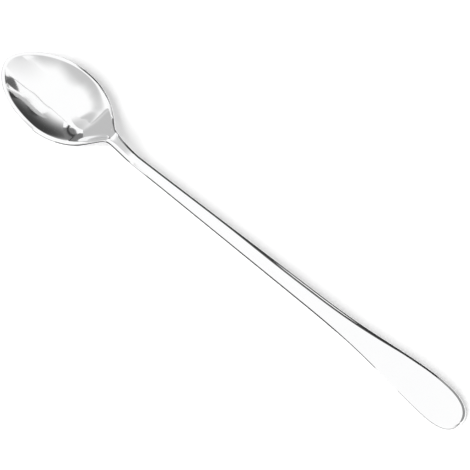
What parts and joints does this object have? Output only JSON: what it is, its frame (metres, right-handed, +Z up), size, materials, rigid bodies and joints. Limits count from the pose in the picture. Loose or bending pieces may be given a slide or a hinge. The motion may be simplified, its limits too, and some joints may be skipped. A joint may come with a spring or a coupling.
{
  "type": "iced tea spoon",
  "caption": "Long-handled stainless spoon with an egg-shaped bowl, raised neck, slim shouldered stem and rounded flat handle end, for stirring tall drinks.",
  "frame": {"origin": "centre of the bounding box, on the table that the spoon lies on", "axes": "+X from the nose of the bowl to the end of the handle, +Y across the spoon, +Z up out of the open bowl"},
  "size_m": [0.195, 0.0286, 0.0088],
  "materials": {
    "polished_steel": "mirror-polished stainless steel with fine polishing lines"
  },
  "bodies": {
    "root": {"bowl": "polished_steel", "neck": "polished_steel", "stem": "polished_steel", "handle": "polished_steel"}
  },
  "joints": []
}
